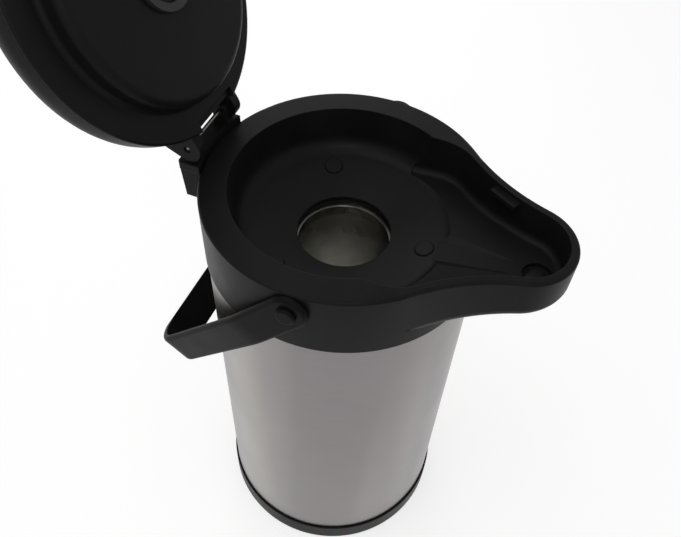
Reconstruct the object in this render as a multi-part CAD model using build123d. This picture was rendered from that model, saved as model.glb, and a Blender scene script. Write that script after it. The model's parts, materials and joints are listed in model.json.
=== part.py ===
from build123d import *
import os
from math import acos, atan2, cos, degrees, hypot, pi, radians, sin, sqrt, tan

# Airpot: a steel vacuum flask with a black pouring collar, a hinged pump lid and a swinging bail.
# Millimetres, +Z up. The beak points along -Y and the lid's hinge is at +Y.
# The origin is the middle of the foot ring, on the table.
# Heights named _z are above the table. Lid sizes are given for the closed lid and
# measured up from the rim, and the whole lid is then turned open about its hinge.

# Fits and gaps
run_gap = 0.06            # radial clearance of a pin that turns in its hole
slide_gap = 0.3           # between pieces that slide or swing past each other
seat_gap = 0.15           # between fixed pieces that are dropped into each other
screw_gap = 0.2           # round a screw that passes through
head_sunk = 0.4           # a screw head below its counterbore's mouth

# Collar and its plan outline
rim_z = 310.0
shell_r = 79.0            # steel body
collar_over = 1.0
collar_r = shell_r + collar_over
beak_reach = 127.0        # from the pot's axis to the tip of the beak
tip_r = 28.6              # round tip of the beak
flank_r = 115.0           # hollow sides between the round collar and the tip
rim_edge_r = 1.8
collar_wall = 3.0
beak_wall = 4.8
foot_depth = 42.2         # from the rim down to the collar's lower edge
lip_h = 6.2               # how far the collar reaches over the flask

# Basin inside the collar
basin_r = 64.5
basin_draft = 5.0
basin_bend_r = 11.0
floor_slope = 16.0        # the basin's floor falls to the neck
neck_depth = 36.2         # from the rim down to the edge of the neck hole
neck_r = 27.0
neck_seat_r = 36.0
neck_seat_t = 3.3
gasket_in = 1.0           # the gasket's hole is wider than the neck's edge by this
channel_in = 7.7
channel_side = basin_r - channel_in   # half width where the beak's channel opens out of the basin
channel_bend_r = 28.0
channel_start = 60.0      # along the beak, where the channel's floor starts
channel_depth = 25.0
channel_slope = 4.35      # the channel's floor rises to the tip
belly_at = 80.0           # along the beak, where the underside's depth is given
belly_depth = 33.5
belly_slope = 9.46
belly_edge_r = 8.0
trough_start = 54.5
trough_end = 96.0
trough_depth_end = 22.5
trough_half_start = 7.0
trough_half_end = 4.5
trough_flare = 2.0        # sideways lean of the trough's sides for each millimetre up
outlet_at = 110.0         # along the beak
outlet_seat_r = 8.0
outlet_seat_h = 3.0
outlet_r = 6.5
nozzle_wall = 1.8
nozzle_down = 10.5        # below the beak's underside

# Catch rib on the beak's inner wall, and the latch that hooks under it
rib_at = 84.0
rib_len = 17.7
rib_out = 4.5
rib_top = 3.0
rib_h = 3.0
latch_w = 12.0
latch_bar_w = 13.6
latch_bar_h = 3.6
latch_t = 2.8
latch_bite = 2.3
latch_travel = 3.0
latch_proud = 3.2

# Screws through the basin floor into the ring that grips the flask's neck
ring_screw_count = 3
ring_screw_at = 48.0
ring_screw_r = 1.75
ring_head_r = 3.8
ring_head_h = 2.0
plug_r = 5.5
plug_h = 1.4
plug_dome = 0.9
ring_head_down = 5.0     # from the basin's floor to the screw head's seat
post_r = 6.0

# Flask
shell_t = 0.8
shell_bottom_z = 9.0
shell_shoulder_in_r = 57.0
pocket_r = 54.0
pocket_depth = 47.0       # below the rim
outer_neck_r = 33.0
gasket_t = 1.7
liner_t = 0.7
liner_neck_r = 26.7
liner_flange_r = 36.0
vacuum_gap = 3.2
liner_r = shell_r - shell_t - vacuum_gap
liner_shoulder_depth = 50.3
liner_shoulder_fall = 4.0
liner_bottom_z = 22.0
liner_shoulder_bend = 9.0
liner_bottom_bend = 16.0
shell_floor_z = 13.0
neck_step = 0.5
neck_step_h = 3.0
ring_gap = 0.4            # the screws pull the ring up until its lip grips
ring_hook_t = 2.5
ring_rise = 1.4           # the ring's body stands higher than its lip
ring_out_r = 53.0

# Base
base_over = 1.4
base_r = shell_r + base_over
base_h = 20.0
base_plate_t = 2.5
base_shelf = 4.0
base_edge_r = 3.0
pad_in = 7.0
pad_r = shell_r - pad_in
pad_proud = 1.2
pad_sunk = 1.2

# Hinge
hinge_out = 2.9
hinge_y = collar_r + hinge_out
hinge_up = 13.0
rod_r = 1.1
rod_sunk = 0.8            # the rod's ends lie in a countersink in each lug
rod_sink_r = 2.0
lug_in = 17.0
lug_out = 23.0
lug_r = 8.0
knuckle_in = 12.5
knuckle_r = 4.0
bracket_half = 23.5
bracket_thick = 9.0
bracket_back = collar_r + bracket_thick
bracket_up = 3.8
bracket_band = 5.4        # height of the band along the bracket's top
bracket_band_out = 0.7
bracket_taper = 1.6
bracket_corner_r = 1.9
bracket_down = 21.5
bracket_screw_x = 8.0
bracket_screw_down = 9.0
bracket_screw_r = 1.75
bracket_head_r = 3.6
bracket_head_h = 2.2
bracket_tip_gap = 3.4     # from the screw's end to the end of its hole
lid_open = 117.0
lug_root = 14.0
lug_up = 6.1              # where the lug's back leaves its round end, from the rod
lug_back = 5.2
lug_lean = 4.6
bay_in = 11.4             # the plate ends this far from the rod between the lugs
bay_foot = 8.9            # the lid's back slopes between the lugs, from here
bay_run = 5.2
bay_rise = 9.5
lug_root_y = collar_r - lug_root

# Lid
lid_inset = 0.8
lid_gap = 1.0
lid_top = 28.0
lid_shoulder_r = 20.0
lid_wall = 2.5
drum_gap = 2.3
drum_r = basin_r - drum_gap
drum_down = 11.4
drum_edge_r = 4.5
drum_foot_r = 3.0
lid_lip_r = 1.4
plate_t = 2.5
button_r = 44.0
button_proud = 3.0
button_edge_r = 1.6
button_t = 2.5
button_travel = 14.0
button_stop_gap = 1.4      # between the pressed button's flange and the clamp
guide_t = 2.2
flange_r = 47.5
flange_t = 2.0
plunger_t = 2.0
bellows_r = 40.3
bellows_fold = 8.0
bellows_folds = 6
bellows_t = 1.2
bellows_flange_r = 44.5
clamp_out_r = 48.0
clamp_t = 2.0
spring_r = 14.0
spring_wire_r = 0.7
spring_turns = 6
seal_in_r = 14.0
seal_out_r = 18.0
seal_proud = 2.6
seal_sunk = 1.0
vent_count = 6
vent_r = 1.4
vent_at = 5.0
valve_r = 8.5
valve_t = 0.9
valve_stem_r = 1.8
lid_screw_r = 1.5
lid_head_r = 3.0
lid_head_h = 1.6
lid_boss_r = 4.2
lid_screw_len = 9.0
lid_screw_spots = [(40.0, -58.0), (-40.0, -58.0), (0.0, -112.0)]
latch_spring_r = 1.6
latch_spring_wire_r = 0.3
latch_spring_turns = 5
latch_post_at = 26.0
latch_post_t = 2.5
latch_post_w = 8.2

# Bail
bail_t = 3.15
bail_w = 21.6
bail_pivot_y = -2.6
bail_pivot_down = 12.2
bail_reach = 144.8
bail_side_gap = 0.4
bail_straight = 40.0
bail_taper = 13.2         # each arm leans in by this, up to the grip's outer face
bail_grip_t = 5.2
bail_round_low = 9.0      # the grip's outer face is rounded across its width
bail_round_high = 4.5
bail_bend_r = 26.0
bail_knee_r = 90.0
bail_rest_gap = 0.3       # between the hanging grip and the back of the flask
bail_edge_r = 2.4         # along the outer face
bail_pin_r = 3.0
bail_cap_r = 5.4
bail_cap_h = 2.1
bail_boss_r = 7.0
bail_pin_deep = 9.0

# Derived places
channel_foot_r = beak_reach - beak_wall - outlet_at - outlet_seat_r
tip_y = -(beak_reach - tip_r)
flank_y = ((collar_r + flank_r) ** 2 - (tip_r + flank_r) ** 2 + tip_y ** 2) / (2 * tip_y)
flank_x = sqrt((collar_r + flank_r) ** 2 - flank_y ** 2)
foot_z = rim_z - foot_depth
ledge_z = foot_z + lip_h
neck_edge_z = rim_z - neck_depth
neck_seat_z = neck_edge_z - neck_seat_t
liner_top_z = neck_seat_z - gasket_t
hinge_z = rim_z + hinge_up
guide_in_r = button_r + slide_gap
bracket_head_y = bracket_back - bracket_head_h - head_sunk
bracket_hole_y = basin_r + collar_wall * 1.5
bracket_screw_len = bracket_head_y - bracket_hole_y - bracket_tip_gap
drum_floor = -drum_down + plate_t
clamp_top = drum_floor + bellows_t + clamp_t
guide_bottom = clamp_top + button_stop_gap + button_travel + flange_t + slide_gap
button_under = lid_top + button_proud - button_t
button_bottom = guide_bottom - slide_gap - flange_t
bellows_top = button_under - plunger_t
fold_top = bellows_top - slide_gap
bail_z = rim_z - bail_pivot_down
bail_x = collar_r + bail_side_gap
trough_depth_start = neck_depth - (trough_start - neck_r) * tan(radians(floor_slope))
nozzle_r = outlet_r + nozzle_wall
hook_z = liner_top_z - liner_t
ring_t = ring_hook_t + ring_rise
ring_z = hook_z + ring_rise
head_seat_z = neck_edge_z + (ring_screw_at - neck_r) * tan(radians(floor_slope)) - ring_head_down
drum_floor_z = rim_z + drum_floor
plate_top_z = rim_z + lid_gap + plate_t
latch_low = lid_gap + plate_t + slide_gap
leg_x = beak_wall + rib_out + slide_gap
nose_top = -rib_top - rib_h - slide_gap
latch_end = leg_x + latch_t + 1.4
bail_grip_half = bail_x + bail_t - bail_taper
bail_arm = bail_reach - bail_grip_t
bail_low_w = bail_w / 2 - bail_round_low + sqrt(bail_round_low ** 2 - (bail_round_low - bail_grip_t) ** 2)
bail_clear = shell_r + bail_rest_gap - bail_pivot_y
bail_hang = degrees(acos(bail_clear / hypot(bail_arm, bail_low_w)) - atan2(bail_low_w, bail_arm))


def prism(face, z_low, z_high):
    """Upright block on a plan face."""
    return extrude(Pos(0, 0, z_low) * face, amount=z_high - z_low, dir=(0, 0, 1))


def spin(*points):
    """Ring or disc from a closed outline of (radius, height) corners."""
    return revolve(Plane.XZ * make_face(Polyline(*points, close=True)), Axis.Z)


def drum(radius, z_low, z_high):
    """Upright round bar on the pot's axis."""
    return Pos(0, 0, z_low) * Cylinder(radius, z_high - z_low, align=(Align.CENTER, Align.CENTER, Align.MIN))


def bar_x(radius, x_low, x_high, y, z):
    """Round bar along X."""
    turned = Rot(0, 90, 0) * Cylinder(radius, x_high - x_low, align=(Align.CENTER, Align.CENTER, Align.MIN))
    return Pos(x_low, y, z) * turned


def side_plane(x, z):
    """Plane square to X, drawn in (y, z), with z measured from the given height."""
    return Plane(origin=(x, 0, z), x_dir=(0, 1, 0), z_dir=(1, 0, 0))


def block(x_low, x_high, y_low, y_high, z_low, z_high):
    """Box between two corners."""
    lengths = (x_high - x_low, y_high - y_low, z_high - z_low)
    return Pos(x_low, y_low, z_low) * Box(*lengths, align=(Align.MIN, Align.MIN, Align.MIN))


def rings(part, radius, z):
    """Round edges of this radius at this height."""
    return [e for e in part.edges().filter_by(GeomType.CIRCLE)
            if abs(e.radius - radius) < 0.02 and abs(e.arc_center.Z - z) < 0.02]


def arc_about(centre, radius, start, end):
    """Arc about a centre, from one point to the other by the shorter way."""
    a = atan2(start[1] - centre[1], start[0] - centre[0])
    b = atan2(end[1] - centre[1], end[0] - centre[0])
    turn = (b - a + pi) % (2 * pi) - pi
    middle = (centre[0] + radius * cos(a + turn / 2), centre[1] + radius * sin(a + turn / 2))
    return ThreePointArc(start, middle, end)


def mirrored(point):
    return (-point[0], point[1])


def flank_touch(inset):
    """Where the hollow flank meets the round collar and the round tip, set in by inset."""
    far = collar_r + flank_r
    near = tip_r + flank_r
    on_rim = (flank_x * (collar_r - inset) / far, flank_y * (collar_r - inset) / far)
    on_tip = (flank_x * (tip_r - inset) / near, tip_y + (flank_y - tip_y) * (tip_r - inset) / near)
    return on_rim, on_tip


def beak_edges(inset, start):
    """Flank, tip and flank again, from a point on the right flank round to its mirror image."""
    on_tip = flank_touch(inset)[1]
    right = (flank_x, flank_y)
    return [
        arc_about(right, flank_r + inset, start, on_tip),
        ThreePointArc(on_tip, (0, -beak_reach + inset), mirrored(on_tip)),
        arc_about(mirrored(right), flank_r + inset, mirrored(on_tip), mirrored(start)),
    ]


def teardrop(inset):
    """Plan outline of the collar and the lid, set in by inset."""
    on_rim = flank_touch(inset)[0]
    back = ThreePointArc(mirrored(on_rim), (0, collar_r - inset), on_rim)
    return Face(Wire(beak_edges(inset, on_rim) + [back]))


def channel_face():
    """Plan outline of the beak's channel, which opens out of the basin."""
    hollow = flank_r + beak_wall
    bend_x = channel_side - channel_bend_r
    bend_y = flank_y + sqrt((hollow + channel_bend_r) ** 2 - (flank_x - bend_x) ** 2)
    share = channel_bend_r / (hollow + channel_bend_r)
    on_flank = (bend_x + (flank_x - bend_x) * share, bend_y + (flank_y - bend_y) * share)
    bend_start = (channel_side, bend_y)
    back = (channel_side, -basin_r * sin(radians(20)))
    edges = [Line(mirrored(back), back), Line(back, bend_start)]
    edges.append(arc_about((bend_x, bend_y), channel_bend_r, bend_start, on_flank))
    edges += beak_edges(beak_wall, on_flank)
    edges.append(arc_about((-bend_x, bend_y), channel_bend_r, mirrored(on_flank), mirrored(bend_start)))
    edges.append(Line(mirrored(bend_start), mirrored(back)))
    return Face(Wire(edges))


def above_slope(at, depth, slope):
    """Everything above a plane that rises towards the beak's tip."""
    size = 4 * beak_reach
    half = Box(size, size, size, align=(Align.CENTER, Align.CENTER, Align.MIN))
    return Pos(0, -at, rim_z - depth) * Rot(-slope, 0, 0) * half


def channel_floor_z(along):
    return rim_z - channel_depth + (along - channel_start) * tan(radians(channel_slope))


def basin_floor_z(radius):
    return neck_edge_z + (radius - neck_r) * tan(radians(floor_slope))


def latch_plane():
    """Frame at the catch rib: x runs inwards from the collar's outline, z runs up from the rim."""
    x = flank_x - sqrt(flank_r ** 2 - (-rib_at - flank_y) ** 2)
    inward = (x - flank_x, -rib_at - flank_y, 0)
    return Plane(origin=(x, -rib_at, rim_z), x_dir=inward, z_dir=(0, 0, 1))


def latch_block(x_low, x_high, width, z_low, z_high):
    return latch_plane().location * block(x_low, x_high, -width / 2, width / 2, z_low, z_high)


def around(count, radius, start=0.0):
    """Places on a circle about the pot's axis, counted from the beak."""
    turns = [start + 360.0 * k / count for k in range(count)]
    return [Rot(0, 0, turn) * Pos(0, -radius, 0) for turn in turns]


def pan_screw(head_r, head_h, shank_r, length):
    """Pan-head screw pointing down, its head's seat at the origin, with a cross recess."""
    head = drum(head_r, 0, head_h)
    head = fillet(rings(head, head_r, head_h), head_h * 0.4)
    arm = head_r * 1.1
    slot = head_r * 0.26
    cross = Box(arm, slot, head_h) + Box(slot, arm, head_h)
    return head + drum(shank_r, -length, 0) - Pos(0, 0, head_h) * cross


def coil(radius, wire_r, length, turns):
    """Compression spring on +Z from the origin: half turns of a tilted arc, in one unbroken wire."""
    low = wire_r
    rise = (length - 2 * wire_r) / (2 * turns)
    arcs = []
    for k in range(2 * turns):
        side = 1 if k % 2 == 0 else -1
        z = low + k * rise
        reach = hypot(radius, rise / 2)
        arcs.append(ThreePointArc((side * radius, 0, z), (0, side * reach, z + rise / 2),
                                  (-side * radius, 0, z + rise)))
    path = Wire(arcs)
    section = Plane(origin=(radius, 0, low), z_dir=path % 0) * Circle(wire_r)
    return sweep(section, path=path)


def make_basin():
    """The hollow that the collar holds: drafted wall, bend and sloping floor."""
    shrink = tan(radians(basin_draft))
    fall = tan(radians(floor_slope))
    corner_r = (basin_r - shrink * (neck_depth + neck_r * fall)) / (1 - shrink * fall)
    corner_z = basin_floor_z(corner_r)
    top = rim_z + 1
    hollow = spin((0, top), (basin_r + shrink, top), (corner_r, corner_z), (neck_r, neck_edge_z),
                  (0, neck_edge_z))
    return fillet(rings(hollow, corner_r, corner_z), basin_bend_r)


def make_channel():
    cavity = prism(channel_face(), rim_z - 2 * channel_depth, rim_z + 1)
    cavity = cavity & above_slope(channel_start, channel_depth, channel_slope)
    floor = cavity.faces().sort_by(Axis.Z)[0]
    edges = [e for e in floor.edges() if e.center().Y < -channel_start * 0.6]
    return fillet(edges, channel_foot_r)


def make_trough():
    """Tapered groove from the basin to the outlet, for the delivery pipe."""
    def section(along, depth, half):
        low = rim_z - depth
        top = channel_floor_z(along) + trough_flare
        out = half + trough_flare * (top - low)
        corners = [(-half, low), (half, low), (out, top), (-out, top)]
        return make_face(Polyline(*[(x, -along, z) for x, z in corners], close=True))
    start = section(trough_start, trough_depth_start, trough_half_start)
    end = section(trough_end, trough_depth_end, trough_half_end)
    groove = loft([start, end])
    runs = [e for e in groove.edges() if abs(e.tangent_at(0.5).Y) > 0.5]
    return fillet(ShapeList(runs).sort_by(Axis.Z)[:2], trough_half_end * 0.8)


def make_collar():
    """Pouring collar: round body, beak, land, basin, channel, trough, outlet, rib, posts and bosses."""
    beak = prism(teardrop(0), foot_z, rim_z) & above_slope(belly_at, belly_depth, belly_slope)
    beak = beak - block(-collar_r, collar_r, -collar_r * 0.4, collar_r, foot_z, rim_z)
    under = [f for f in beak.faces().filter_by(GeomType.PLANE) if f.normal_at().Z < -0.5][0]
    outer = [e for e in under.edges() if e.center().Y < -collar_r * 0.45]
    belly_z = rim_z - belly_depth + (outlet_at - belly_at) * tan(radians(belly_slope))
    nozzle_top = channel_floor_z(outlet_at) - outlet_seat_h
    nozzle = Pos(0, -outlet_at, 0) * drum(nozzle_r, belly_z - nozzle_down, nozzle_top)
    body = drum(collar_r, foot_z, rim_z) + fillet(outer, belly_edge_r) + nozzle
    blank = prism(teardrop(0), foot_z, rim_z)
    body = body & fillet([e for e in blank.edges() if e.center().Z > rim_z - 0.01], rim_edge_r)

    inner_r = collar_r - collar_wall
    land_z = rim_z - collar_wall
    bend_r = basin_r - basin_bend_r
    keep_z = rim_z - channel_depth - collar_wall
    hollow = spin((0, neck_seat_z), (neck_seat_r, neck_seat_z),
                  (neck_seat_r, basin_floor_z(neck_seat_r) - collar_wall),
                  (bend_r, basin_floor_z(bend_r) - collar_wall), (basin_r + collar_wall * 0.8, keep_z),
                  (basin_r + collar_wall, land_z), (inner_r, land_z), (inner_r, ledge_z),
                  (shell_r + seat_gap, ledge_z), (shell_r + seat_gap, foot_z - 1), (0, foot_z - 1))
    keep_x = channel_side + collar_wall
    hollow = hollow - block(-keep_x, keep_x, -collar_r, -channel_start * 0.4, keep_z, rim_z)
    keep_x = trough_half_start + trough_flare * collar_wall + collar_wall
    keep_z = rim_z - trough_depth_start - collar_wall
    hollow = hollow - block(-keep_x, keep_x, -collar_r, -trough_start, keep_z, rim_z)
    body = body - hollow

    # Posts over the ring's screws, bosses for the bracket's screws and for the bail's pins
    for place in around(ring_screw_count, ring_screw_at):
        body += place * drum(post_r, ring_z + ring_gap, basin_floor_z(ring_screw_at) - collar_wall / 2)
    boss_in = basin_r + collar_wall / 2
    for x in (-bracket_screw_x, bracket_screw_x):
        boss = Pos(x, boss_in, rim_z - bracket_screw_down) * Rot(-90, 0, 0) * drum(
            bracket_screw_r + collar_wall, 0, inner_r - boss_in)
        body += boss
    for side in (-1, 1):
        low, high = sorted((side * (basin_r + collar_wall * 0.3), side * inner_r))
        body += bar_x(bail_boss_r, low, high, bail_pivot_y, bail_z)

    body = body - make_basin() - make_channel() - make_trough()
    body = body - drum(neck_r, foot_z, rim_z)
    seat_z = channel_floor_z(outlet_at) - outlet_seat_h
    body = body - Pos(0, -outlet_at, 0) * (drum(outlet_seat_r, seat_z, rim_z) + drum(outlet_r, foot_z, rim_z))
    rib = latch_block(beak_wall - 1, beak_wall + rib_out, rib_len, -rib_top - rib_h, -rib_top)
    body += fillet(rib.edges().filter_by(Axis.Z), 0.8)

    for place in around(ring_screw_count, ring_screw_at):
        body = body - place * drum(ring_screw_r + screw_gap, ring_z, rim_z)
        body = body - place * drum(ring_head_r + seat_gap, head_seat_z, rim_z - channel_depth)
        body = body - place * plug_tilt() * drum(plug_r, -plug_h, plug_h * 3)
    for x in (-bracket_screw_x, bracket_screw_x):
        hole = Rot(-90, 0, 0) * drum(bracket_screw_r, 0, collar_r)
        body = body - Pos(x, bracket_hole_y, rim_z - bracket_screw_down) * hole
    pin_in = collar_r - bail_pin_deep
    for side in (-1, 1):
        low, high = sorted((side * pin_in, side * (collar_r + 1)))
        body = body - bar_x(bail_pin_r, low, high, bail_pivot_y, bail_z)
    return body


def plug_tilt():
    """Lies on the basin's sloping floor, z square to it."""
    return Pos(0, 0, basin_floor_z(ring_screw_at)) * Rot(-floor_slope, 0, 0)


def make_plug():
    plug = drum(plug_r, -plug_h, plug_dome)
    return plug_tilt() * fillet(rings(plug, plug_r, plug_dome), plug_dome * 0.8)


def make_ring():
    """Ring in the flask's shoulder: its lip grips under the neck's flange."""
    low = ring_z - ring_t
    ring = spin((outer_neck_r + seat_gap, low), (ring_out_r, low), (ring_out_r, ring_z),
                (liner_flange_r + seat_gap, ring_z), (liner_flange_r + seat_gap, hook_z),
                (outer_neck_r + seat_gap, hook_z))
    for place in around(ring_screw_count, ring_screw_at):
        ring = ring - place * drum(ring_screw_r, low, ring_z)
    return ring


def make_shell():
    t = shell_t
    neck_z = liner_top_z - liner_t
    floor_z = rim_z - pocket_depth
    slant = t * 0.8
    outside = [(shell_r, shell_bottom_z), (shell_r, ledge_z), (shell_shoulder_in_r, ledge_z), (pocket_r, floor_z),
               (outer_neck_r, floor_z), (outer_neck_r, neck_z)]
    inside = [(outer_neck_r - t, neck_z), (outer_neck_r - t, floor_z - t), (pocket_r + slant, floor_z - t),
              (shell_shoulder_in_r + slant, ledge_z - t), (shell_r - t, ledge_z - t), (shell_r - t, shell_bottom_z)]
    shell = spin(*outside, *inside)
    return fillet(rings(shell, shell_r, ledge_z), 1.2)


def make_shell_floor():
    """Dished disc welded into the foot of the outer shell."""
    wall = shell_r - shell_t
    under = shell_floor_z - shell_t
    return spin((0, shell_floor_z), (wall, shell_floor_z), (wall, shell_bottom_z),
                (wall - shell_t, shell_bottom_z), (wall - shell_t, under), (0, under))


def make_liner():
    t = liner_t
    rn = liner_neck_r
    rs = liner_neck_r + neck_step
    top = liner_top_z
    step = top - neck_step_h
    high = rim_z - liner_shoulder_depth
    low = high - liner_shoulder_fall
    base = liner_bottom_z
    liner = spin((liner_flange_r, top), (liner_flange_r, top - t), (rs + t, top - t), (rs + t, step - t),
                 (rn + t, step - t), (rn + t, high), (liner_r, low), (liner_r, base), (0, base), (0, base + t),
                 (liner_r - t, base + t), (liner_r - t, low - t), (rn, high - t), (rn, step), (rs, step), (rs, top))
    liner = fillet(rings(liner, liner_r, low), liner_shoulder_bend)
    liner = fillet(rings(liner, liner_r - t, low - t), liner_shoulder_bend - t)
    liner = fillet(rings(liner, liner_r, base), liner_bottom_bend)
    return fillet(rings(liner, liner_r - t, base + t), liner_bottom_bend - t)


def make_base():
    """Plastic foot: the shell stands on its inner shoulder, the pad lies in its underside."""
    fit_r = shell_r + seat_gap
    pad_top = pad_proud + pad_sunk
    floor = pad_top + base_plate_t
    base = spin((0, pad_top), (pad_r + seat_gap, pad_top), (pad_r + seat_gap, pad_proud), (base_r, pad_proud),
                (base_r, base_h), (fit_r, base_h), (fit_r, shell_bottom_z),
                (fit_r - base_shelf, shell_bottom_z), (fit_r - base_shelf, floor), (0, floor))
    base = fillet(rings(base, base_r, pad_proud), base_edge_r)
    return fillet(rings(base, base_r, base_h), (base_r - fit_r) * 0.6)


def make_bracket():
    """Hinge bracket: block behind the collar with a band along its top, and two knuckles."""
    low = rim_z - bracket_down
    top = rim_z + bracket_up
    front = bracket_back - 2 * bracket_thick
    knee_z = top - bracket_band
    side = make_face(Polyline((front, low), (bracket_back - bracket_taper, low), (bracket_back, knee_z),
                              (bracket_back, top), (front, top), close=True))
    body = extrude(side_plane(-bracket_half, 0) * side, amount=2 * bracket_half)
    out = bracket_band_out
    band = block(-bracket_half - out, bracket_half + out, front, bracket_back + out, knee_z, top)
    band = fillet(band.edges().filter_by(Axis.Z), bracket_corner_r)
    body = body + fillet(band.faces().sort_by(Axis.Z)[-1].edges(), out)
    body = body - drum(collar_r, low - 1, rim_z - rim_edge_r)
    body = body - drum(collar_r + seat_gap, rim_z - rim_edge_r, top + 1)
    for side in (-1, 1):
        low_x, high_x = sorted((side * knuckle_in, side * (lug_in - slide_gap)))
        knuckle = bar_x(knuckle_r, low_x, high_x, hinge_y, hinge_z)
        web = block(low_x, high_x, hinge_y - knuckle_r, hinge_y + knuckle_r, top - 1, hinge_z)
        body = body + knuckle + (web - drum(collar_r + seat_gap, low, hinge_z))
    body = body - bar_x(rod_r, -lug_out, lug_out, hinge_y, hinge_z)
    for x in (-bracket_screw_x, bracket_screw_x):
        at = Pos(x, bracket_back, rim_z - bracket_screw_down) * Rot(-90, 0, 0)
        body = body - at * (drum(bracket_screw_r + screw_gap, -2 * bracket_thick, 0)
                            + drum(bracket_head_r + seat_gap, -bracket_head_h - head_sunk, 1))
    return body


def make_rod():
    """Hinge rod, its domed ends in the countersinks of the lugs."""
    end = lug_out - rod_sunk
    rod = bar_x(rod_r, -end, end, hinge_y, hinge_z)
    return fillet(rod.edges().filter_by(GeomType.CIRCLE), rod_r * 0.45)


def make_lid_shell():
    low = plate_top_z
    top = rim_z + lid_top
    blank = prism(teardrop(lid_inset), low, top)
    block_out = fillet([e for e in blank.edges() if e.center().Z > top - 0.01], lid_shoulder_r)
    inset = lid_inset + lid_wall
    room = prism(teardrop(inset), low, top - lid_wall)
    roof = [e for e in room.edges() if e.center().Z > top - lid_wall - 0.01]
    room = fillet(roof, lid_shoulder_r - lid_wall)
    shell = block_out - room
    bay_half = lug_in + lid_wall
    bay_roof = low + bay_rise
    shell += block(-bay_half, bay_half, hinge_y - bay_in - lid_wall, hinge_y, low, bay_roof) & block_out
    guide_out = guide_in_r + guide_t
    shell += drum(guide_out, rim_z + guide_bottom, top - lid_wall / 2)
    shell = shell - drum(guide_in_r, low, top + 1)

    # Bosses for the screws that hold the base plate
    for x, y in lid_screw_spots:
        shell += (Pos(x, y, 0) * drum(lid_boss_r, plate_top_z, top - lid_wall / 2)) & block_out
        shell = shell - Pos(x, y, 0) * drum(lid_screw_r, plate_top_z, plate_top_z + lid_screw_len)

    # Lugs round the hinge rod
    crown = lid_top - hinge_up
    web = make_face(Polyline((hinge_y, -lug_r), (hinge_y, 0), (hinge_y + lug_back, lug_up),
                             (hinge_y - lug_lean, crown - lid_wall / 2), (lug_root_y, crown - lid_wall),
                             (lug_root_y, -lug_r), close=True))
    for side in (-1, 1):
        low_x, high_x = sorted((side * lug_in, side * lug_out))
        slab = extrude(side_plane(low_x, hinge_z) * web, amount=lug_out - lug_in)
        lug = bar_x(lug_r, low_x, high_x, hinge_y, hinge_z) + slab
        lug = lug - drum(collar_r - lid_wall, rim_z, top - lid_shoulder_r * 0.6) - block(
            -bracket_back, bracket_back, 0, collar_r - lid_inset, rim_z, plate_top_z)
        shell = shell + (lug - room)
    shell = shell - bar_x(rod_r + run_gap, -lug_out - 1, lug_out + 1, hinge_y, hinge_z)
    for side in (-1, 1):
        low_x, high_x = sorted((side * (lug_out - rod_sunk), side * (lug_out + 1)))
        shell = shell - bar_x(rod_sink_r, low_x, high_x, hinge_y, hinge_z)
    shell = shell - bar_x(knuckle_r + 2 * slide_gap, -lug_in, lug_in, hinge_y, hinge_z)
    foot_y = hinge_y - bay_foot
    under = rim_z + lid_gap
    slope = make_face(Polyline((foot_y, under), (foot_y + bay_run, under + bay_rise), (hinge_y, under + bay_rise),
                               (hinge_y, under), close=True))
    shell = shell - extrude(side_plane(-lug_in, 0) * slope, amount=2 * lug_in)

    # Slot for the latch's thumb piece
    slot = latch_block(-lid_wall, beak_wall + lid_wall, latch_bar_w + 2 * slide_gap, latch_low - slide_gap,
                       latch_low + latch_bar_h + slide_gap)
    return shell - slot


def make_lid_base():
    """Plate that closes the lid, with the drum that dips into the basin."""
    bottom = rim_z - drum_down
    under = rim_z + lid_gap
    plate = prism(teardrop(lid_inset), under, plate_top_z)
    plate = fillet([e for e in plate.edges() if e.center().Z < under + 0.01], lid_lip_r)
    cup = drum(drum_r, bottom, under + plate_t / 2)
    cup = fillet(rings(cup, drum_r, bottom), drum_edge_r)
    base = plate + cup
    base = fillet(rings(base, drum_r, under), drum_foot_r)
    base = base - block(-lug_in, lug_in, hinge_y - bay_in, hinge_y, under, plate_top_z)
    base = base - drum(drum_r - plate_t, drum_floor_z, plate_top_z)
    for place in around(vent_count, vent_at):
        base = base - place * drum(vent_r, bottom, drum_floor_z)
    base = base - drum(valve_stem_r, bottom, drum_floor_z)
    base = base - (drum(seal_out_r, bottom, bottom + seal_sunk) - drum(seal_in_r, bottom, bottom + seal_sunk))
    for x, y in lid_screw_spots:
        base = base - Pos(x, y, 0) * drum(lid_screw_r + screw_gap, bottom, plate_top_z)
        base = base - Pos(x, y, 0) * drum(lid_head_r + seat_gap, bottom, rim_z + lid_gap)
    slot = latch_block(leg_x - slide_gap, leg_x + latch_t + latch_travel + slide_gap, latch_w + 2 * slide_gap,
                       lid_gap - 1, lid_gap + plate_t + 1)
    base = base - slot
    post_z = latch_low + latch_bar_h
    post_end = latch_post_at + latch_post_t
    return base + latch_block(latch_post_at, post_end, latch_post_w, lid_gap + plate_t / 2, post_z)


def make_button():
    """Round pump button: crowned top, skirt and the flange that stops it under the guide."""
    low = rim_z + button_bottom
    top = rim_z + lid_top + button_proud
    button = drum(button_r, low, top) + drum(flange_r, low, low + flange_t)
    button = fillet(rings(button, button_r, top), button_edge_r)
    return button - drum(button_r - button_t, low, top - button_t)


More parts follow.
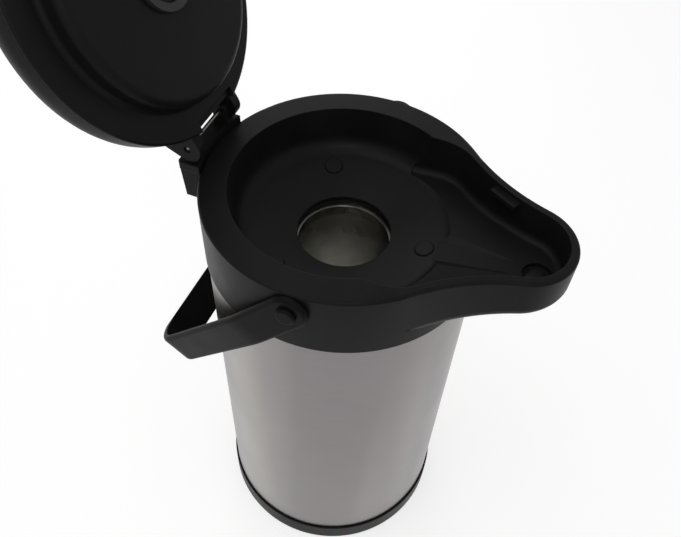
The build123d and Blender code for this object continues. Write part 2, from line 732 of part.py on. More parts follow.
def make_bellows():
    """Folded rubber pump, straight walls between folds, open at both ends."""
    foot = drum_floor_z
    top = rim_z + fold_top
    pitch = (top - foot - 2 * bellows_t) / bellows_folds
    outer = [(bellows_flange_r, foot), (bellows_flange_r, foot + bellows_t), (bellows_r, foot + bellows_t)]
    inner = [(bellows_r - bellows_fold - bellows_t, foot)]
    for k in range(bellows_folds):
        z = foot + bellows_t + k * pitch
        outer.append((bellows_r - bellows_fold, z + pitch / 2))
        outer.append((bellows_r, z + pitch))
        inner.append((bellows_r - bellows_t, z if k else z + bellows_t / 2))
        inner.append((bellows_r - bellows_fold - bellows_t, z + pitch / 2))
    outer.append((bellows_r, top))
    inner.append((bellows_r - bellows_t, top - 2 * bellows_t))
    inner.append((bellows_r - bellows_fold - bellows_t, top - bellows_t))
    inner.append((bellows_r - bellows_fold - bellows_t, top))
    return spin(*(outer + inner[::-1]))


def make_valve():
    """Mushroom valve under the drum, held by the barb on its stem."""
    bottom = rim_z - drum_down
    valve = drum(valve_r, bottom - valve_t, bottom) + drum(valve_stem_r, bottom, drum_floor_z)
    return valve + drum(valve_stem_r * 1.4, drum_floor_z, drum_floor_z + valve_t)


def make_latch():
    """Sliding latch: thumb piece, bar, leg and the nose that hooks under the rib."""
    bar = latch_block(lid_inset - latch_proud, latch_end, latch_bar_w, latch_low, latch_low + latch_bar_h)
    leg = latch_block(leg_x, leg_x + latch_t, latch_w, nose_top - latch_t, latch_low + 1)
    nose = latch_block(leg_x - latch_bite, leg_x + 1, latch_w, nose_top - latch_t, nose_top)
    return bar + leg + nose


def make_bail():
    """Flat strap bent round the flask, drawn flat in (x, reach) and hung from its pins."""
    def half(inset, grip):
        a = (bail_x + bail_t, bail_straight)
        b = (bail_grip_half, bail_reach)
        run = hypot(b[0] - a[0], b[1] - a[1])
        slope = (b[0] - a[0]) / (b[1] - a[1])
        shift = inset * run / (b[1] - a[1])
        knee = (a[0] - inset, a[1] + (inset - shift) / slope)
        corner = (a[0] - shift + slope * (b[1] - grip - a[1]), b[1] - grip)
        return [(a[0] - inset, -bail_w / 2), knee, corner]
    outer = half(0, 0)
    inner = half(bail_t, bail_grip_t)
    bends = [bail_knee_r, bail_bend_r, bail_bend_r, bail_knee_r]
    tight = [bail_knee_r - bail_t, bail_bend_r - bail_t, bail_bend_r - bail_t, bail_knee_r - bail_t]
    out_line = FilletPolyline(*outer, *[mirrored(p) for p in outer[::-1]], radius=bends)
    in_line = FilletPolyline(*inner, *[mirrored(p) for p in inner[::-1]], radius=tight)
    ends = [Line(outer[0], inner[0]), Line(mirrored(outer[0]), mirrored(inner[0]))]
    face = make_face(out_line.edges() + in_line.edges() + ends)
    strap = extrude(face, amount=bail_w / 2, both=True)
    wide = 2 * bail_x
    square_end = block(-wide, wide, -bail_w, 0, -bail_w, bail_w)
    strap = strap - (square_end - bar_x(bail_w / 2, -wide, wide, 0, 0))
    rims = [e for e in strap.edges() if abs(e.center().Z) > bail_w * 0.49 and e.center().Y > 0]
    strap = fillet([e for e in rims if out_line.distance_to(e @ 0.5) < bail_w / 2 + 0.1], bail_edge_r)
    across = block(-wide, wide, -bail_w, bail_reach, -bail_w / 2, bail_w / 2)
    far = [e for e in across.edges().filter_by(Axis.X) if e.center().Y > 0]
    across = fillet([e for e in far if e.center().Z < 0], bail_round_low)
    far = [e for e in across.edges().filter_by(Axis.X) if e.center().Y > bail_reach - 0.1]
    strap = strap & fillet([e for e in far if e.center().Z > 0], bail_round_high)
    strap = strap - bar_x(bail_pin_r + run_gap, -wide, wide, 0, 0)
    return Pos(0, bail_pivot_y, bail_z) * Rot(-bail_hang, 0, 0) * strap


def make_bail_pin():
    """Pin of the left arm: domed cap outside the strap, shank pressed into the collar's boss."""
    seat = bail_x + bail_t + slide_gap
    pin = bar_x(bail_pin_r, collar_r - bail_pin_deep, seat, bail_pivot_y, bail_z)
    cap = Pos(seat, bail_pivot_y, bail_z) * Rot(0, 90, 0) * drum(bail_cap_r, 0, bail_cap_h)
    edge = [e for e in cap.edges().filter_by(GeomType.CIRCLE) if e.arc_center.X > seat + bail_cap_h / 2]
    return pin + fillet(edge, bail_cap_h * 0.6)


def screws_at(places, screw):
    return Compound(children=[Part(p * screw).solid() for p in places])


def build():
    """Every node by name, the lid turned open."""
    opened = Pos(0, hinge_y, hinge_z) * Rot(-lid_open, 0, 0) * Pos(0, -hinge_y, -hinge_z)
    ring_places = around(ring_screw_count, ring_screw_at)
    ring_screw_len = head_seat_z - ring_z + ring_t + 1
    ring_screw = pan_screw(ring_head_r, ring_head_h, ring_screw_r, ring_screw_len)
    plug = make_plug()
    pins = make_bail_pin()
    back_screw = pan_screw(bracket_head_r, bracket_head_h, bracket_screw_r, bracket_screw_len)
    back_screw = Rot(-90, 0, 0) * back_screw
    back_spots = [Pos(x, bracket_head_y, rim_z - bracket_screw_down)
                  for x in (-bracket_screw_x, bracket_screw_x)]
    up_screw = Rot(180, 0, 0) * pan_screw(lid_head_r, lid_head_h, lid_screw_r, lid_screw_len)
    up_spots = [Pos(x, y, rim_z + lid_gap) for x, y in lid_screw_spots]
    clamp_z = drum_floor_z + bellows_t
    plunger_z = rim_z + bellows_top
    bottom = rim_z - drum_down
    spring = coil(spring_r, spring_wire_r, bellows_top + drum_down - plate_t, spring_turns)
    catch_spring = coil(latch_spring_r, latch_spring_wire_r, latch_post_at - latch_end, latch_spring_turns)
    catch_place = latch_plane().location * Pos(latch_end, 0, latch_low + latch_bar_h / 2) * Rot(0, 90, 0)
    parts = {
        "collar": make_collar(),
        "outer_shell": make_shell(),
        "shell_floor": make_shell_floor(),
        "inner_liner": make_liner(),
        "neck_gasket": drum(liner_flange_r, liner_top_z, neck_seat_z)
                       - drum(neck_r + gasket_in, liner_top_z, neck_seat_z),
        "retaining_ring": make_ring(),
        "ring_screws": screws_at([Pos(0, 0, head_seat_z) * p for p in ring_places], ring_screw),
        "screw_plugs": screws_at(ring_places, plug),
        "base_cup": make_base(),
        "base_pad": drum(pad_r, 0, pad_proud + pad_sunk),
        "hinge_bracket": make_bracket(),
        "bracket_screws": screws_at(back_spots, back_screw),
        "hinge_rod": make_rod(),
        "bail": make_bail(),
        "bail_pin_right": pins,
        "bail_pin_left": mirror(pins, Plane.YZ),
    }
    lid = {
        "lid_shell": make_lid_shell(),
        "lid_base": make_lid_base(),
        "lid_screws": screws_at(up_spots, up_screw),
        "pump_button": make_button(),
        "pump_plunger": drum(bellows_r, plunger_z, rim_z + button_under),
        "bellows": make_bellows(),
        "bellows_clamp": drum(clamp_out_r, clamp_z, clamp_z + clamp_t)
                         - drum(bellows_r + slide_gap, clamp_z, clamp_z + clamp_t),
        "pump_spring": Pos(0, 0, drum_floor_z) * spring,
        "air_valve": make_valve(),
        "air_seal": drum(seal_out_r, bottom - seal_proud, bottom + seal_sunk)
                    - drum(seal_in_r, bottom - seal_proud, bottom + seal_sunk),
        "lid_latch": make_latch(),
        "latch_spring": catch_place * catch_spring,
    }
    for name, part in lid.items():
        parts[name] = opened * part
    return parts


if __name__ == "__main__":
    os.makedirs("parts", exist_ok=True)
    for name, part in build().items():
        export_step(part, "parts/" + name + ".step")
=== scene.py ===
import json
import math

import bpy
import numpy as np
from bpy.props import FloatProperty, FloatVectorProperty, PointerProperty
from mathutils import Matrix, Vector


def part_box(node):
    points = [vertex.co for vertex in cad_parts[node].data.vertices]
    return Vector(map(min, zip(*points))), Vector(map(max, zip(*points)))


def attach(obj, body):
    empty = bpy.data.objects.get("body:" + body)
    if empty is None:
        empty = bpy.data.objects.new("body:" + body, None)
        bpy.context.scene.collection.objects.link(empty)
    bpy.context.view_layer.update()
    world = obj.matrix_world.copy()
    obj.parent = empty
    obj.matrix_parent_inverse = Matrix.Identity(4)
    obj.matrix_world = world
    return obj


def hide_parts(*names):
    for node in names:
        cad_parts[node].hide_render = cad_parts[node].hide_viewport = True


bl_info = {
    "name": "Airpot finisher",
    "version": (1, 0, 0),
    "blender": (4, 5, 0),
    "location": "3D View > Sidebar > Airpot",
    "description": "Gives the airpot its grained plastic, brushed steel and rubber, and sets its stage",
    "category": "Object",
}

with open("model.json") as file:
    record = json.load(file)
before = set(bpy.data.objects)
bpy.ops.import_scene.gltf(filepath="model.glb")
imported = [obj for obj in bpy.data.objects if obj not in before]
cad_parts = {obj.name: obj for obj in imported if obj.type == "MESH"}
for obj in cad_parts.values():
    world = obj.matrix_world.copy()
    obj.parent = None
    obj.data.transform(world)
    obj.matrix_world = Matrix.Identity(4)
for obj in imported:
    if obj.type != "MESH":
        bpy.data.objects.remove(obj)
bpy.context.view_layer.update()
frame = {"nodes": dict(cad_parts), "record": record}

PANEL_TAB = "Airpot"
RIM_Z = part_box("collar")[1][2]

# How noise is stretched, as scales of x, y and z
ROUND_THE_GIRTH = (0.02, 0.02, 1.0)
PART_WAY_ROUND = (0.05, 0.05, 1.0)
DOWN_THE_BODY = (1.0, 1.0, 0.04)
ALONG_THE_WIRE = (0.2, 1.0, 1.0)

# Camera at the photograph's place, in metres, with its right and up directions
CAMERA_PLACE = (-0.27346, -0.098476, 0.593842)
CAMERA_RIGHT = (0.380603, -0.924097, 0.034427)
CAMERA_UP = (0.707629, 0.315010, 0.632479)
SENSOR_WIDTH = 36.0
NEAR_CLIP = 0.01

# Each lamp's place, the point that it faces, and its width and height, in metres
LAMPS = {
    "key": ((-0.2, 0.35, 1.3), (0, 0, 0.3), (0.9, 0.7)),
    "side": ((-0.75, -0.3, 1.15), (0, 0, 0.28), (0.35, 0.35)),
    "fill": ((-1.1, -0.3, 0.5), (0, 0, 0.2), (0.6, 0.8)),
    "back": ((0.9, 0.5, 0.7), (0, 0, 0.25), (0.5, 0.9)),
}
FLOOR_HALF = 3.0
FLOOR_LINES = 9


# Materials

class Finish:
    """A node material built up from small parts, all read from Object coordinates."""

    def __init__(self, name):
        self.material = bpy.data.materials.new(name)
        self.material.use_nodes = True
        self.tree = self.material.node_tree
        self.tree.nodes.clear()
        self.shader = self.add("ShaderNodeBsdfPrincipled")
        output = self.add("ShaderNodeOutputMaterial")
        self.link(self.shader.outputs["BSDF"], output.inputs["Surface"])
        self.place = self.add("ShaderNodeTexCoord").outputs["Object"]

    def add(self, kind, **values):
        node = self.tree.nodes.new(kind)
        for key, value in values.items():
            setattr(node, key, value)
        return node

    def link(self, start, end):
        self.tree.links.new(start, end)

    def stretched(self, scale):
        """Object coordinates scaled by three numbers."""
        node = self.add("ShaderNodeMapping")
        node.inputs["Scale"].default_value = scale
        self.link(self.place, node.inputs["Vector"])
        return node.outputs["Vector"]

    def noise(self, size, detail=3.0, rough=0.5, vector=None):
        """Soft noise whose features are about size metres across."""
        node = self.add("ShaderNodeTexNoise")
        node.inputs["Scale"].default_value = 1.0 / size
        node.inputs["Detail"].default_value = detail
        node.inputs["Roughness"].default_value = rough
        self.link(vector or self.place, node.inputs["Vector"])
        return node.outputs["Fac"]

    def spread(self, value, low, high, start=0.3, end=0.7):
        """Maps a noise value from start..end to low..high."""
        node = self.add("ShaderNodeMapRange")
        for key, number in (("From Min", start), ("From Max", end), ("To Min", low), ("To Max", high)):
            node.inputs[key].default_value = number
        self.link(value, node.inputs["Value"])
        return node.outputs["Result"]

    def by_height(self, start, end, low, high):
        """Maps the height over the table, from start..end, to low..high."""
        node = self.add("ShaderNodeSeparateXYZ")
        self.link(self.place, node.inputs["Vector"])
        return self.spread(node.outputs["Z"], low, high, start, end)

    def near(self, value, middle, less, more):
        """Maps a noise value to a little less and a little more than a number."""
        return self.spread(value, middle - less, middle + more)

    def toned(self, value, colour, dark, light):
        """A colour made a little darker and a little lighter by a noise value."""
        return self.two_tones(value, tone(colour, dark), tone(colour, light))

    def two_tones(self, value, dark, light, start=0.3, end=0.7):
        """Colour between two tones, by a noise value."""
        node = self.add("ShaderNodeValToRGB")
        node.color_ramp.elements[0].position = start
        node.color_ramp.elements[0].color = (*dark, 1.0)
        node.color_ramp.elements[1].position = end
        node.color_ramp.elements[1].color = (*light, 1.0)
        self.link(value, node.inputs["Fac"])
        return node.outputs["Color"]

    def worn_edges(self, radius):
        """Normals rounded over at sharp edges, as moulded and pressed edges are."""
        node = self.add("ShaderNodeBevel", samples=6)
        node.inputs["Radius"].default_value = radius
        return node.outputs["Normal"]

    def shaded(self, colour, factor):
        """A colour made lighter or darker by a factor that changes over the surface."""
        node = self.add("ShaderNodeMixRGB", blend_type="MULTIPLY")
        node.inputs["Fac"].default_value = 1.0
        self.link(colour, node.inputs["Color1"])
        self.link(factor, node.inputs["Color2"])
        return node.outputs["Color"]

    def bump(self, height, distance, strength=1.0, under=None):
        """Normals raised and sunk by a noise value, over the ones given."""
        node = self.add("ShaderNodeBump")
        node.inputs["Strength"].default_value = strength
        node.inputs["Distance"].default_value = distance
        self.link(height, node.inputs["Height"])
        if under is not None:
            self.link(under, node.inputs["Normal"])
        return node.outputs["Normal"]

    def set(self, socket, value):
        """Links a node's output to the shader, or writes a plain value on its socket."""
        if hasattr(value, "is_output"):
            self.link(value, self.shader.inputs[socket])
        else:
            self.shader.inputs[socket].default_value = value


def tone(colour, factor):
    """A colour times a factor, no channel over 1."""
    return tuple(min(1.0, c * factor) for c in colour)


def moulded_plastic(name, look):
    """Moulded plastic: fine spark-eroded grain, with slow changes of tone and gloss."""
    finish = Finish(name)
    grain = finish.noise(look.grain, detail=2.0, rough=0.6)
    cloud = finish.noise(size=0.03, detail=4.0)
    finish.set("Base Color", finish.toned(cloud, look.colour, dark=0.85, light=1.18))
    finish.set("Roughness", finish.near(cloud, look.gloss, less=0.04, more=0.05))
    finish.set("Specular IOR Level", look.shine)
    finish.set("Normal", finish.bump(grain, look.grain_depth, under=finish.worn_edges(look.edge)))
    return finish.material


def brushed_steel(name, look):
    """Steel brushed round the flask: long fine scratches along the girth, and painted reflection bands,
    darker and lighter, down the body.
    """
    finish = Finish(name)
    lines = finish.noise(look.grain, detail=4.0, rough=0.65, vector=finish.stretched(ROUND_THE_GIRTH))
    fine_width = look.grain * 0.4
    fine = finish.noise(fine_width, detail=2.0, rough=0.6, vector=finish.stretched(PART_WAY_ROUND))
    cloud = finish.noise(size=0.05, detail=2.0)
    # Painted reflection: soft darker and lighter bands down the body, drawn into the colour.
    reflection_band = finish.noise(look.reflection_band, detail=1.0, vector=finish.stretched(DOWN_THE_BODY))
    base = finish.two_tones(reflection_band, look.reflection_band_dark, look.colour, start=0.38, end=0.62)
    finish.set("Metallic", 1.0)
    finish.set("Base Color", finish.shaded(base, finish.spread(lines, low=0.95, high=1.04)))
    finish.set("Roughness", finish.near(cloud, look.gloss, less=0.03, more=0.04))
    finish.set("Anisotropic", 0.55)
    coarse = finish.bump(lines, look.grain_depth, strength=0.6)
    finish.set("Normal", finish.bump(fine, look.grain_depth, strength=0.6, under=coarse))
    return finish.material


def drawn_steel(name, look):
    """Inside of the flask: half-bright steel with faint drawing rings, and painted shade that darkens the
    colour towards the pressed neck.
    """
    finish = Finish(name)
    ring_pitch = look.grain * 2.5
    rings = finish.noise(ring_pitch, detail=3.0, vector=finish.stretched(ROUND_THE_GIRTH))
    haze = finish.noise(size=0.02, detail=3.0)
    finish.set("Metallic", 1.0)
    base = finish.toned(haze, look.colour, dark=0.92, light=1.06)
    # Painted shade: the colour darkens with height towards the neck, between the two given heights, down
    # to the given tone.
    painted_neck_shade = finish.by_height(look.clear, look.full_shade_from, low=1.0, high=look.neck_shade_tone)
    finish.set("Base Color", finish.shaded(base, painted_neck_shade))
    finish.set("Roughness", finish.near(haze, look.gloss, less=0.05, more=0.05))
    finish.set("Normal", finish.bump(rings, look.grain_depth, strength=0.5))
    return finish.material


def soft_rubber(name, look):
    """Matt black rubber with a powdery, slightly mottled face."""
    finish = Finish(name)
    powder = finish.noise(look.grain, detail=5.0, rough=0.7)
    cloud = finish.noise(size=0.012, detail=3.0)
    finish.set("Base Color", finish.toned(cloud, look.colour, dark=0.8, light=1.35))
    finish.set("Roughness", finish.near(powder, look.gloss, less=0.08, more=0.06))
    finish.set("Normal", finish.bump(powder, look.grain_depth))
    return finish.material


def plated_steel(name, look):
    """Small plated steel parts, such as springs, the rod and screws, with light drawing marks."""
    finish = Finish(name)
    marks = finish.noise(look.grain, detail=3.0, vector=finish.stretched(ALONG_THE_WIRE))
    finish.set("Metallic", 1.0)
    finish.set("Base Color", finish.toned(marks, look.colour, dark=0.85, light=1.1))
    finish.set("Roughness", finish.near(marks, look.gloss, less=0.06, more=0.08))
    finish.set("Normal", finish.bump(marks, look.grain_depth, strength=0.5))
    return finish.material


def dress(material, *names):
    """Puts a finish on CAD nodes, in every slot they have."""
    for name in names:
        node = frame["nodes"][name]
        if not node.material_slots:
            node.data.materials.append(material)
        for slot in node.material_slots:
            slot.material = material


# Sizes and colours that a user may change

def colour_of(value, text):
    return FloatVectorProperty(name="Colour", description=text, default=value, subtype="COLOR", size=3,
                               min=0, max=1)


def share_of(value, name, text):
    return FloatProperty(name=name, description=text, default=value, min=0, max=1)


def length_of(value, name, text):
    return FloatProperty(name=name, description=text, default=value, unit="LENGTH")


def power_of(value, name, text):
    return FloatProperty(name=name, description=text, default=value, min=0, unit="POWER")


def strength_of(value, name, text):
    return FloatProperty(name=name, description=text, default=value, min=0)


class AIRPOT_PG_plastic(bpy.types.PropertyGroup):
    """Grained plastic of the collar, the lid and the hinge."""
    colour: colour_of((0.0088, 0.0088, 0.009), "Colour of the moulded plastic")
    gloss: share_of(0.4, "Roughness", "Roughness of the plastic")
    shine: share_of(0.075, "Specular", "Strength of the plastic's reflection")
    grain: length_of(0.0009, "Grain size", "Width of the mould grain")
    grain_depth: length_of(0.00005, "Grain depth", "Depth of the mould grain")
    edge: length_of(0.0007, "Edge rounding", "Radius of the moulded edges")


class AIRPOT_PG_bail(bpy.types.PropertyGroup):
    """Smoother plastic of the bail."""
    colour: colour_of((0.0062, 0.0062, 0.0062), "Colour of the bail")
    gloss: share_of(0.4, "Roughness", "Roughness of the bail")
    shine: share_of(0.045, "Specular", "Strength of the bail's reflection")
    grain: length_of(0.0007, "Grain size", "Width of the mould grain")
    grain_depth: length_of(0.00003, "Grain depth", "Depth of the mould grain")
    edge: length_of(0.0009, "Edge rounding", "Radius of the bail's edges")


class AIRPOT_PG_shell(bpy.types.PropertyGroup):
    """Brushed steel of the flask's body, with painted reflection bands down it."""
    colour: colour_of((0.32, 0.302, 0.285), "Colour of the brushed body")
    # The second colour and the band width set the painted reflection bands down the body.
    reflection_band_dark: colour_of((0.225, 0.207, 0.21), "Colour of the brushed body's darker bands")
    reflection_band: length_of(0.05, "Band width", "Width of the bands down the body")
    gloss: share_of(0.34, "Roughness", "Roughness of the brushed body")
    grain: length_of(0.00035, "Scratch width", "Width of a brush scratch")
    grain_depth: length_of(0.000008, "Scratch depth", "Depth of a brush scratch")


class AIRPOT_PG_liner(bpy.types.PropertyGroup):
    """Half-bright steel inside the flask, with painted shade towards the neck."""
    colour: colour_of((0.93, 0.92, 0.87), "Colour of the liner")
    # These three set the painted shade towards the neck: the colour darkens from the first height to the
    # second, down to the third's tone.
    clear: length_of(0.148, "Clear to", "Height to which the wall is clear")
    full_shade_from: length_of(0.195, "Dull from", "Height from which the wall is dull")
    neck_shade_tone: strength_of(0.27, "Dull tone", "Tone of the dull wall against the clear")
    gloss: share_of(0.24, "Roughness", "Roughness of the liner")
    grain: length_of(0.0008, "Ring width", "Width of a drawing ring")
    grain_depth: length_of(0.00001, "Ring depth", "Depth of a drawing ring")


class AIRPOT_PG_button(bpy.types.PropertyGroup):
    """Pump button, with heights above the closed lid's rim plane."""
    radius: length_of(0.044, "Radius", "Radius of the button")
    top: length_of(0.031, "Top", "Height of the button's edge")
    low: length_of(0.0097, "Low end", "Height of the skirt's lower edge")
    edge: length_of(0.0016, "Edge", "Radius of the button's top edge")
    wall: length_of(0.0025, "Wall", "Thickness of the button")
    dish: length_of(0.0014, "Dish", "Depth of the dish for the palm")
    dish_r: length_of(0.038, "Dish radius", "Radius of the dish")
    flange_r: length_of(0.0475, "Flange radius", "Radius of the flange")
    flange_h: length_of(0.002, "Flange", "Thickness of the flange")


class AIRPOT_PG_rubber(bpy.types.PropertyGroup):
    """Rubber of the gasket, bellows, seal, valve and foot pad."""
    colour: colour_of((0.012, 0.012, 0.012), "Colour of the rubber")
    gloss: share_of(0.7, "Roughness", "Roughness of the rubber")
    grain: length_of(0.0006, "Grain size", "Width of the powdery grain")
    grain_depth: length_of(0.00003, "Grain depth", "Depth of the powdery grain")


class AIRPOT_PG_plating(bpy.types.PropertyGroup):
    """Plated rod, screws and springs."""
    colour: colour_of((0.2, 0.192, 0.178), "Colour of the plating")
    gloss: share_of(0.3, "Roughness", "Roughness of the plating")
    grain: length_of(0.0004, "Mark width", "Width of a drawing mark")
    grain_depth: length_of(0.00001, "Mark depth", "Depth of a drawing mark")


class AIRPOT_PG_stage(bpy.types.PropertyGroup):
    """Floor, lamps and camera."""
    floor: colour_of((0.54, 0.54, 0.54), "Colour of the floor")
    lift: strength_of(0.66, "Floor lift", "Extra white of the floor where it is seen")
    world: strength_of(0.5, "Room light", "Strength of the even room light")
    key: power_of(2.6, "Key light", "Power of the large lamp above")
    side: power_of(1.6, "Side light", "Power of the lamp beside the camera")
    fill: power_of(0.2, "Fill light", "Power of the lamp on the left")
    back: power_of(1.6, "Back light", "Power of the lamp behind")
    lens: FloatProperty(name="Lens", description="Focal length on a 36 mm sensor", default=39.557,
                        unit="CAMERA")


LOOKS = {
    "airpot_plastic": AIRPOT_PG_plastic,
    "airpot_bail": AIRPOT_PG_bail,
    "airpot_shell": AIRPOT_PG_shell,
    "airpot_liner": AIRPOT_PG_liner,
    "airpot_button": AIRPOT_PG_button,
    "airpot_rubber": AIRPOT_PG_rubber,
    "airpot_plating": AIRPOT_PG_plating,
    "airpot_stage": AIRPOT_PG_stage,
}


# Shapes

def arc(centre, radius, start, end, count=7):
    """Points (r, h) at equal turns on an arc about a centre, from one angle in degrees to the other."""
    turn = np.radians(np.linspace(start, end, count))
    return np.stack([centre[0] + radius * np.cos(turn), centre[1] + radius * np.sin(turn)], axis=-1)


def turned(name, profile, steps=144):
    """Solid of revolution: the profile's point (r, h) at turn a lies at (r cos a, r sin a, h).

    The profile's first and last points lie on the axis, where one vertex closes each end.
    """
    turn = np.arange(steps) * (2 * np.pi / steps)
    r, h = profile[1:-1, 0, None], profile[1:-1, 1, None]
    rings = np.stack([r * np.cos(turn), r * np.sin(turn), h + 0 * turn], axis=-1).reshape(-1, 3)
    poles = np.array([[0, 0, profile[0, 1]], [0, 0, profile[-1, 1]]])
    index = np.arange(len(rings)).reshape(-1, steps)
    ahead = np.roll(index, -1, axis=1)
    quads = np.stack([index[:-1], index[1:], ahead[1:], ahead[:-1]], axis=-1).reshape(-1, 4)
    top, under = len(rings), len(rings) + 1
    first = np.stack([np.full(steps, top), index[0], ahead[0]], axis=-1)
    last = np.stack([np.full(steps, under), ahead[-1], index[-1]], axis=-1)
    mesh = bpy.data.meshes.new(name)
    faces = quads.tolist() + first.tolist() + last.tolist()
    mesh.from_pydata(np.concatenate([rings, poles]).tolist(), [], faces)
    mesh.shade_smooth()
    mesh.set_sharp_from_angle(angle=math.radians(35))
    return mesh


def open_lid(mesh):
    """Turns a mesh that was drawn on the closed lid, about the hinge's pin, to the open rest place."""
    hinge = next(j for j in frame["record"]["behaviour"]["joints"] if j["name"] == "lid_hinge")
    pin = Matrix.Translation(hinge["pos_m"])
    mesh.transform(pin @ Matrix.Rotation(-math.radians(hinge["range_deg"][1]), 4, "X") @ pin.inverted())


def add_piece(mesh, body, material, replaces):
    """Puts a new mesh at the origin, on its body, in place of the CAD node that it stands for."""
    piece = bpy.data.objects.new(mesh.name, mesh)
    bpy.context.scene.collection.objects.link(piece)
    mesh.materials.append(material)
    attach(piece, body)
    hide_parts(replaces)
    return piece


def button_profile(size):
    """Half section of the button, as points (r, h) from the top of the axis round to the underside.

    The dish is h = top - depth * (1 + cos(pi r / R)) / 2. After it come the round shoulder, the skirt,
    the flange and the hollow inside.
    """
    r = np.linspace(0, size.dish_r, 14)
    dish = np.stack([r, size.top - size.dish * (1 + np.cos(np.pi * r / size.dish_r)) / 2], axis=-1)
    edge = size.edge
    shoulder = arc((size.radius - edge, size.top - edge), edge, 90, 0)
    inside = size.radius - size.wall
    roof = size.top - size.wall
    corners = [(size.radius, size.low + size.flange_h), (size.flange_r, size.low + size.flange_h),
               (size.flange_r, size.low), (inside, size.low), (inside, roof), (0, roof)]
    return np.concatenate([dish, shoulder, np.array(corners)]) + np.array([0, RIM_Z])


# Pieces

class AIRPOT_OT_collar(bpy.types.Operator):
    """Finishes the collar, its plugs, the base cup and the moulded retaining ring"""
    bl_idname = "airpot.collar"
    bl_label = "Collar and base"

    def execute(self, context):
        look = context.scene.airpot_plastic
        dress(moulded_plastic("collar_plastic", look), "collar", "screw_plugs", "retaining_ring")
        dress(moulded_plastic("base_plastic", look), "base_cup")
        return {"FINISHED"}


class AIRPOT_OT_flask(bpy.types.Operator):
    """Finishes the brushed body, the liner and the floor that closes the body"""
    bl_idname = "airpot.flask"
    bl_label = "Steel flask"

    def execute(self, context):
        scene = context.scene
        dress(brushed_steel("brushed_body", scene.airpot_shell), "outer_shell")
        dress(drawn_steel("drawn_liner", scene.airpot_liner), "inner_liner", "shell_floor")
        return {"FINISHED"}


class AIRPOT_OT_hinge(bpy.types.Operator):
    """Finishes the hinge bracket, the rod and all small screws"""
    bl_idname = "airpot.hinge"
    bl_label = "Hinge and screws"

    def execute(self, context):
        scene = context.scene
        dress(moulded_plastic("hinge_plastic", scene.airpot_plastic), "hinge_bracket")
        plated = plated_steel("plated_parts", scene.airpot_plating)
        dress(plated, "hinge_rod", "bracket_screws", "ring_screws", "lid_screws", "pump_spring",
              "latch_spring")
        return {"FINISHED"}


class AIRPOT_OT_bail(bpy.types.Operator):
    """Finishes the bail and its two pins"""
    bl_idname = "airpot.bail"
    bl_label = "Bail"

    def execute(self, context):
        plastic = moulded_plastic("bail_plastic", context.scene.airpot_bail)
        dress(plastic, "bail", "bail_pin_left", "bail_pin_right")
        return {"FINISHED"}


class AIRPOT_OT_lid(bpy.types.Operator):
    """Finishes the lid, its base plate and the latch"""
    bl_idname = "airpot.lid"
    bl_label = "Lid and latch"

    def execute(self, context):
        look = context.scene.airpot_plastic
        plastic = moulded_plastic("lid_plastic", look)
        dress(plastic, "lid_shell", "lid_base", "lid_latch", "bellows_clamp")
        return {"FINISHED"}


class AIRPOT_OT_pump(bpy.types.Operator):
    """Finishes the pump button, the plunger and the rubber parts"""
    bl_idname = "airpot.pump"
    bl_label = "Pump and rubber"

    def execute(self, context):
        scene = context.scene
        plastic = moulded_plastic("button_plastic", scene.airpot_plastic)
        dress(plastic, "pump_button", "pump_plunger")
        button = turned("button_top", button_profile(scene.airpot_button))
        open_lid(button)
        add_piece(button, "button", plastic, "pump_button")
        rubber = soft_rubber("black_rubber", scene.airpot_rubber)
        dress(rubber, "bellows", "air_valve", "air_seal", "neck_gasket", "base_pad")
        return {"FINISHED"}


# Stage

def floor_mesh():
    """Level square grid: x and y run over the square, z is nought."""
    side = np.linspace(-FLOOR_HALF, FLOOR_HALF, FLOOR_LINES)
    x, y = np.meshgrid(side, side, indexing="ij")
    points = np.stack([x, y, np.zeros_like(x)], axis=-1).reshape(-1, 3)
    index = np.arange(len(points)).reshape(FLOOR_LINES, FLOOR_LINES)
    corners = [index[:-1, :-1], index[1:, :-1], index[1:, 1:], index[:-1, 1:]]
    quads = np.stack(corners, axis=-1).reshape(-1, 4)
    mesh = bpy.data.meshes.new("floor")
    mesh.from_pydata(points.tolist(), [], quads.tolist())
    return mesh


def seen_directly(nodes, links):
    """1 on rays from the camera, from mirror-like faces and through clear ones, and 0 on all others."""
    rays = nodes.new("ShaderNodeLightPath")
    total = rays.outputs["Is Camera Ray"]
    for kind in ("Is Glossy Ray", "Is Transmission Ray"):
        node = nodes.new("ShaderNodeMath")
        node.operation = "MAXIMUM"
        links.new(total, node.inputs[0])
        links.new(rays.outputs[kind], node.inputs[1])
        total = node.outputs[0]
    return total


def floor_paint(colour, lift):
    """Pale floor that keeps the shadow, lifted to white where it is seen directly."""
    finish = Finish("floor_paint")
    finish.set("Base Color", (*colour, 1.0))
    finish.set("Roughness", 0.9)
    finish.set("Specular IOR Level", 0.0)
    finish.set("Emission Color", (1.0, 1.0, 1.0, 1.0))
    glow = finish.add("ShaderNodeMath", operation="MULTIPLY")
    finish.link(seen_directly(finish.tree.nodes, finish.tree.links), glow.inputs[0])
    glow.inputs[1].default_value = lift
    finish.link(glow.outputs[0], finish.shader.inputs["Emission Strength"])
    return finish.material


def area_lamp(name, place, aim, size, power):
    """Soft rectangular lamp at a place, facing a point."""
    lamp = bpy.data.lights.new(name, "AREA")
    lamp.shape = "RECTANGLE"
    lamp.size, lamp.size_y = size
    lamp.energy = power
    holder = bpy.data.objects.new(name, lamp)
    holder.location = place
    holder.rotation_euler = (Vector(aim) - Vector(place)).to_track_quat("-Z", "Y").to_euler()
    bpy.context.scene.collection.objects.link(holder)


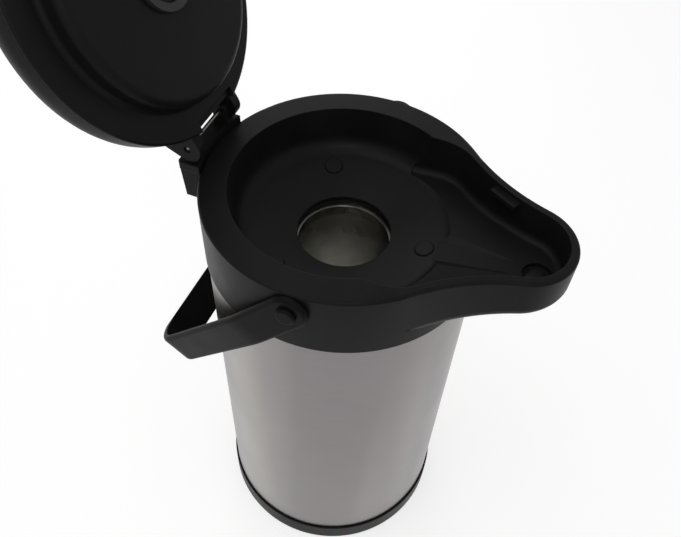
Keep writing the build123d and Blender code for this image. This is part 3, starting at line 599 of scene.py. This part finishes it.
def place_camera(lens):
    """Camera to the left of the pot and about 51 degrees above it."""
    data = bpy.data.cameras.new("camera")
    data.lens = lens
    data.sensor_width = SENSOR_WIDTH
    data.clip_start = NEAR_CLIP
    camera = bpy.data.objects.new("camera", data)
    right, up = Vector(CAMERA_RIGHT), Vector(CAMERA_UP)
    turn = Matrix((right, up, right.cross(up))).transposed().to_4x4()
    camera.matrix_world = Matrix.Translation(CAMERA_PLACE) @ turn
    bpy.context.scene.collection.objects.link(camera)
    bpy.context.scene.camera = camera


def room_light(strength):
    """Even white room: white to the camera and to reflections, softer on the object."""
    world = bpy.data.worlds.new("room")
    world.use_nodes = True
    nodes = world.node_tree.nodes
    links = world.node_tree.links
    nodes.clear()
    output = nodes.new("ShaderNodeOutputWorld")
    mix = nodes.new("ShaderNodeMixShader")
    lit = nodes.new("ShaderNodeBackground")
    seen = nodes.new("ShaderNodeBackground")
    lit.inputs["Strength"].default_value = strength
    seen.inputs["Strength"].default_value = 1.0
    links.new(seen_directly(nodes, links), mix.inputs["Fac"])
    links.new(lit.outputs["Background"], mix.inputs[1])
    links.new(seen.outputs["Background"], mix.inputs[2])
    links.new(mix.outputs["Shader"], output.inputs["Surface"])
    bpy.context.scene.world = world


class AIRPOT_OT_stage(bpy.types.Operator):
    """Lays the pale floor, hangs the soft lamps and places the camera"""
    bl_idname = "airpot.stage"
    bl_label = "Stage"

    def execute(self, context):
        look = context.scene.airpot_stage
        floor = bpy.data.objects.new("floor", floor_mesh())
        floor.data.materials.append(floor_paint(look.floor, look.lift))
        context.scene.collection.objects.link(floor)
        room_light(look.world)
        for name, (place, aim, size) in LAMPS.items():
            area_lamp(name, place, aim, size, getattr(look, name))
        place_camera(look.lens)
        context.scene.view_settings.view_transform = "Standard"
        return {"FINISHED"}


class AIRPOT_PT_panel(bpy.types.Panel):
    """Lists the pieces of the airpot"""
    bl_idname = "AIRPOT_PT_panel"
    bl_label = "Airpot"
    bl_space_type = "VIEW_3D"
    bl_region_type = "UI"
    bl_category = PANEL_TAB

    def draw(self, context):
        for step in STEPS:
            self.layout.operator(step.bl_idname)
        for name in LOOKS:
            box = self.layout.box()
            box.label(text=name.split("_")[1].capitalize())
            look = getattr(context.scene, name)
            for key in look.bl_rna.properties.keys():
                if key not in ("name", "rna_type"):
                    box.prop(look, key)


STEPS = (AIRPOT_OT_collar, AIRPOT_OT_flask, AIRPOT_OT_hinge, AIRPOT_OT_bail, AIRPOT_OT_lid, AIRPOT_OT_pump,
         AIRPOT_OT_stage)
CLASSES = (*LOOKS.values(), *STEPS, AIRPOT_PT_panel)


def register():
    for kind in CLASSES:
        bpy.utils.register_class(kind)
    for name, kind in LOOKS.items():
        setattr(bpy.types.Scene, name, PointerProperty(type=kind))


def unregister():
    for name in LOOKS:
        delattr(bpy.types.Scene, name)
    for kind in reversed(CLASSES):
        bpy.utils.unregister_class(kind)


def main():
    register()
    for step in STEPS:
        group, name = step.bl_idname.split(".")
        if getattr(getattr(bpy.ops, group), name)() != {"FINISHED"}:
            raise RuntimeError("this step did not finish: " + step.bl_label)


if __name__ == "__main__":
    main()
